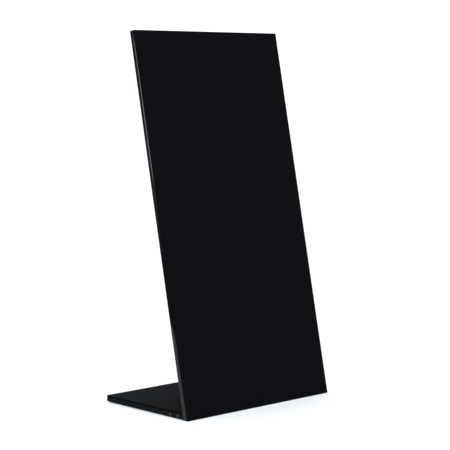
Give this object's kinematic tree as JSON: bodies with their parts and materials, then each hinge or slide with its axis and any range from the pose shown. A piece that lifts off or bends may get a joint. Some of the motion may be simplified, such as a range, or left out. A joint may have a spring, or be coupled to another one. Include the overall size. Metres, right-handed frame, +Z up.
{
  "type": "slant-back display board",
  "caption": "Tall flat black chalk panel leaning back over a flat base plate of its own width, L-shaped from the side, free-standing on the floor.",
  "frame": {"origin": "on the floor, at the middle of the footprint: half way across the width, half way between the foot of the panel's face and the rear edge of the base", "axes": "+X across the width, towards the board's right as seen by someone reading it; the panel's face looks towards -Y; +Z is up, away from the floor"},
  "size_m": [0.6, 0.4, 1.178],
  "materials": {
    "writing_sheet": "matt black writing laminate",
    "base_sheet": "fine-grained matt black laminate",
    "board": "fibreboard painted matt black",
    "gloss_edging": "smooth satin-gloss black edging",
    "satin_edging": "satin black edging",
    "dark_steel": "darkened countersunk screw",
    "plate_steel": "bare rolled steel",
    "beech": "fluted hardwood dowel",
    "pad_rubber": "black self-adhesive rubber"
  },
  "bodies": {
    "root": {"panel_core": "board", "panel_face_sheet": "writing_sheet", "panel_edge_left": "gloss_edging", "panel_edge_right": "gloss_edging", "panel_edge_top": "gloss_edging", "panel_edge_foot": "satin_edging", "base_core": "board", "base_top_sheet": "base_sheet", "base_edge_left": "satin_edging", "base_edge_right": "satin_edging", "base_edge_rear": "satin_edging", "angle_plate_left": "plate_steel", "angle_plate_right": "plate_steel", "screw_left_panel_low": "dark_steel", "screw_left_panel_high": "dark_steel", "screw_left_base_front": "dark_steel", "screw_left_base_rear": "dark_steel", "screw_right_panel_low": "dark_steel", "screw_right_panel_high": "dark_steel", "screw_right_base_front": "dark_steel", "screw_right_base_rear": "dark_steel", "dowel_1": "beech", "dowel_2": "beech", "dowel_3": "beech", "dowel_4": "beech", "pad_front_left": "pad_rubber", "pad_front_right": "pad_rubber", "pad_rear_left": "pad_rubber", "pad_rear_right": "pad_rubber"}
  },
  "joints": []
}
